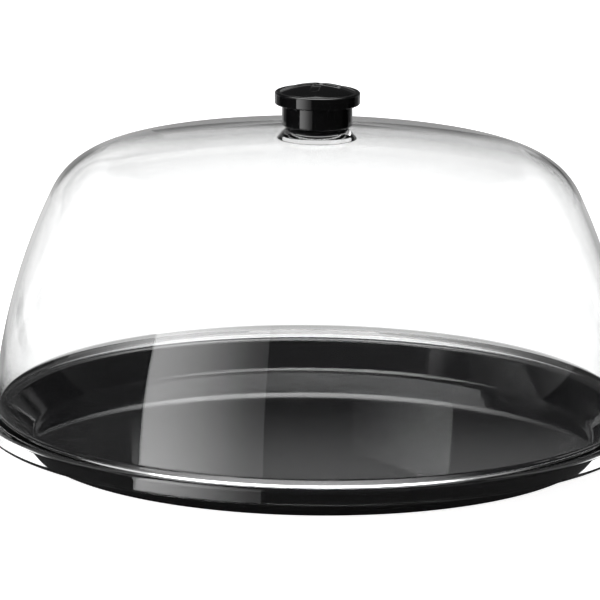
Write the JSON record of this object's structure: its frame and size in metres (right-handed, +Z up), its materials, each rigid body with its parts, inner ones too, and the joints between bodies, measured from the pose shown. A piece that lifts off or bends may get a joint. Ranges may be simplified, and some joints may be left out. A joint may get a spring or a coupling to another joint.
{
  "type": "covered display tray",
  "caption": "Round black serving tray with a flat rim, under a clear moulded dome cover that lifts off by a black flanged knob; shows and shields cakes and pastry on a buffet.",
  "frame": {"origin": "centre of the tray's foot ring, on the surface that the tray stands on", "axes": "+Z up along the common axis of tray, cover and knob; the picture looks along +Y, with +X to its right"},
  "size_m": [0.3799, 0.38, 0.2107],
  "materials": {
    "tray_black": "polished black moulding",
    "dome_clear": "polished clear moulding",
    "knob_black": "polished black moulding"
  },
  "bodies": {
    "tray": {"tray": "tray_black"},
    "cover": {"dome_cover": "dome_clear", "knob_body": "knob_black", "knob_cap": "knob_black"}
  },
  "joints": [
    {"name": "cover_lift", "type": "slide", "parent": "tray", "child": "cover", "axis": [0, 0, 1], "range_m": [0, 0.25]}
  ]
}
